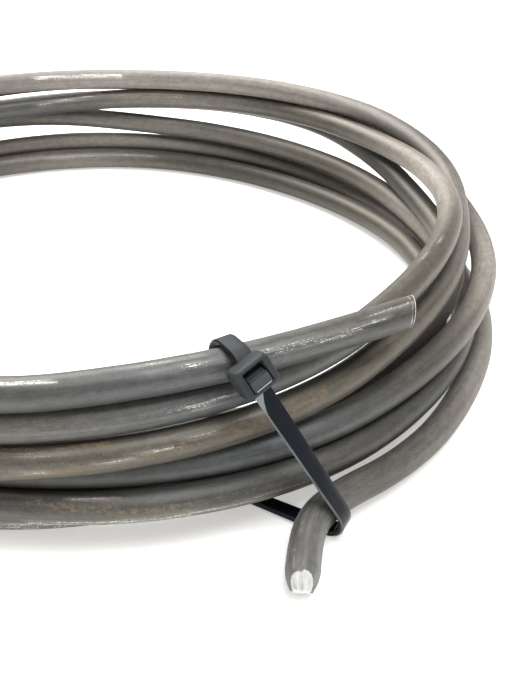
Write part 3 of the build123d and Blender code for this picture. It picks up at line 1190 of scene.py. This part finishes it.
# %% The cut stub of the strap's end, with a burr along its lower edge
stub_half_x, stub_half_y = 1.90 * MM, 0.98 * MM
stub_y = -0.96 * MM
stub_top = head_height - 0.12 * MM
stub_rings = (
    (stub_half_x, stub_half_y, 0.20 * MM, head_height - window_depth - 0.1 * MM),
    (stub_half_x, stub_half_y, 0.20 * MM, stub_top - 0.30 * MM),
    (stub_half_x - 0.05 * MM, stub_half_y - 0.05 * MM, 0.18 * MM, stub_top - 0.12 * MM),
    (stub_half_x - 0.16 * MM, stub_half_y - 0.16 * MM, 0.12 * MM, stub_top),
)
stub_mesh = head_stack("tie_stub", stub_rings, stub_y)

burr_half_x, burr_half_y = 1.55 * MM, 0.09 * MM
burr_corner = 0.03 * MM
burr_y = stub_y - stub_half_y + 0.10 * MM
burr_steps = ((0.0, -0.15 * MM), (0.0, 0.06 * MM), (0.05 * MM, 0.13 * MM))
burr_rings = [(burr_half_x - inset, burr_half_y - inset / 2, burr_corner, stub_top + rise)
              for inset, rise in burr_steps]
burr_mesh = head_stack("tie_burr", burr_rings, burr_y)

# %% The pawl's ridges, each lower than the one before
ridge_count = 2
ridge_half_x = 1.72 * MM
ridge_first, ridge_pitch = 0.20 * MM, 0.34 * MM
ridge_sunk, ridge_fall = 0.42 * MM, 0.60 * MM
ridge_outline = ((-0.22, -1.40), (-0.20, -0.05), (-0.13, 0.0), (-0.05, -0.02), (0.20, -0.34),
                 (0.22, -1.40))
pawl_meshes = []
for number in range(ridge_count):
    ridge_y = ridge_first + ridge_pitch * number
    ridge_top = head_height - ridge_sunk - ridge_fall * number
    loops = [[head_point((x, ridge_y + y * MM, ridge_top + z * MM)) for y, z in ridge_outline]
             for x in (-ridge_half_x, ridge_half_x)]
    pawl_meshes.append(skin("pawl_ridge", loops))
print("head, stub, burr and", len(pawl_meshes), "pawl ridges made")

# %% One moulding, and how worn each of its parts is, with a painted reflection on the bevel
def join(name, meshes, sharp_above):
    """All the meshes as one object, smooth but for its sharp edges."""
    shape = bmesh.new()
    tone = shape.verts.layers.float.new("wear_and_reflection")
    for mesh, wear_and_reflection in meshes:
        before = len(shape.verts)
        shape.from_mesh(mesh)
        shape.verts.ensure_lookup_table()
        added = shape.verts[before:]
        values = wear_and_reflection if isinstance(wear_and_reflection, list) else [wear_and_reflection] * len(added)
        for v, value in zip(added, values):
            v[tone] = value
    whole = bpy.data.meshes.new(name)
    shape.to_mesh(whole)
    shape.free()
    whole.shade_smooth()
    whole.set_sharp_from_angle(angle=math.radians(sharp_above))
    whole.materials.append(nylon)
    return link(name, whole)


head_worn, stub_worn, burr_worn, pawl_worn = 0.10, 0.16, 0.9, 0.12
sharpest_smooth = 38
tie_meshes = [(strap_mesh, strap_reflection_and_band), (ribs.data, 0.0), (head_mesh, head_worn),
              (stub_mesh, stub_worn), (burr_mesh, burr_worn)]
tie_meshes += [(mesh, pawl_worn) for mesh in pawl_meshes]
tie = join("cable_tie_moulding", tie_meshes, sharpest_smooth)
bpy.data.objects.remove(ribs)
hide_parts("cable_tie")
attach(tie, "root")
print(tie.name, "has", len(tie.data.polygons), "faces")

# %% [markdown]
# ## The nylon's finish
#
# Black nylon is a dull satin: not quite black, a shade lighter where light rakes it, with a
# fine moulded grain and a few pale rubs and dust specks. A painted reflection lies along the
# bevel of the strap's run down the outside, strongest beside the head, and the band over the top
# is paler. The freshly cut stub is paler.

# %% The nylon's node tree
nylon_sheen = 0.22
grain_depth = 0.03 * MM
nylon_black = (0.003, 0.005, 0.009, 1.0)
nylon_grey = (0.030, 0.032, 0.033, 1.0)
# A pale grey for rubs, and for the painted reflection on the bevel.
nylon_rub_and_reflection = (0.420, 0.470, 0.480, 1.0)


def dress_nylon(material):
    graph = new_material_tree(material)
    place_here = graph.add("ShaderNodeTexCoord", output=3)
    wear_and_reflection = graph.attribute("wear_and_reflection")
    cloud = graph.noise(place_here, 160.0, detail=3.0)
    grain = graph.noise(place_here, 2600.0, detail=3.0, roughness=0.7)
    specks = graph.noise(place_here, 1500.0, detail=2.0, roughness=0.5)
    dust = specks.ramp(0.70, 0.76) * cloud.ramp(0.45, 0.65)
    matt = wear_and_reflection.ramp(0.0, 0.08)
    tone = (cloud.ramp(0.35, 0.7) * 0.08 + matt * (0.30 + grain.ramp(0.3, 0.8) * 0.5)).clamp()
    colour = graph.mix(tone, nylon_black, nylon_grey)
    # Pale where worn, dusty or cut, and where the reflection on the bevel is painted.
    pale = (wear_and_reflection * (0.6 + cloud * 0.7) + dust * 0.25 - 0.07).clamp()
    colour = graph.mix(pale, colour, nylon_rub_and_reflection)
    rough = 0.20 + matt * 0.26 + grain * 0.08 + cloud * 0.08
    height = grain * (0.04 + matt * 0.96) + cloud * 0.6
    finish_material(graph, {"Base Color": colour, "Roughness": rough,
                            "Specular IOR Level": nylon_sheen,
                            "Normal": bumps(graph, 0.35, grain_depth, height)})


dress_nylon(nylon)
print("black_nylon has", len(nylon.node_tree.nodes), "nodes")
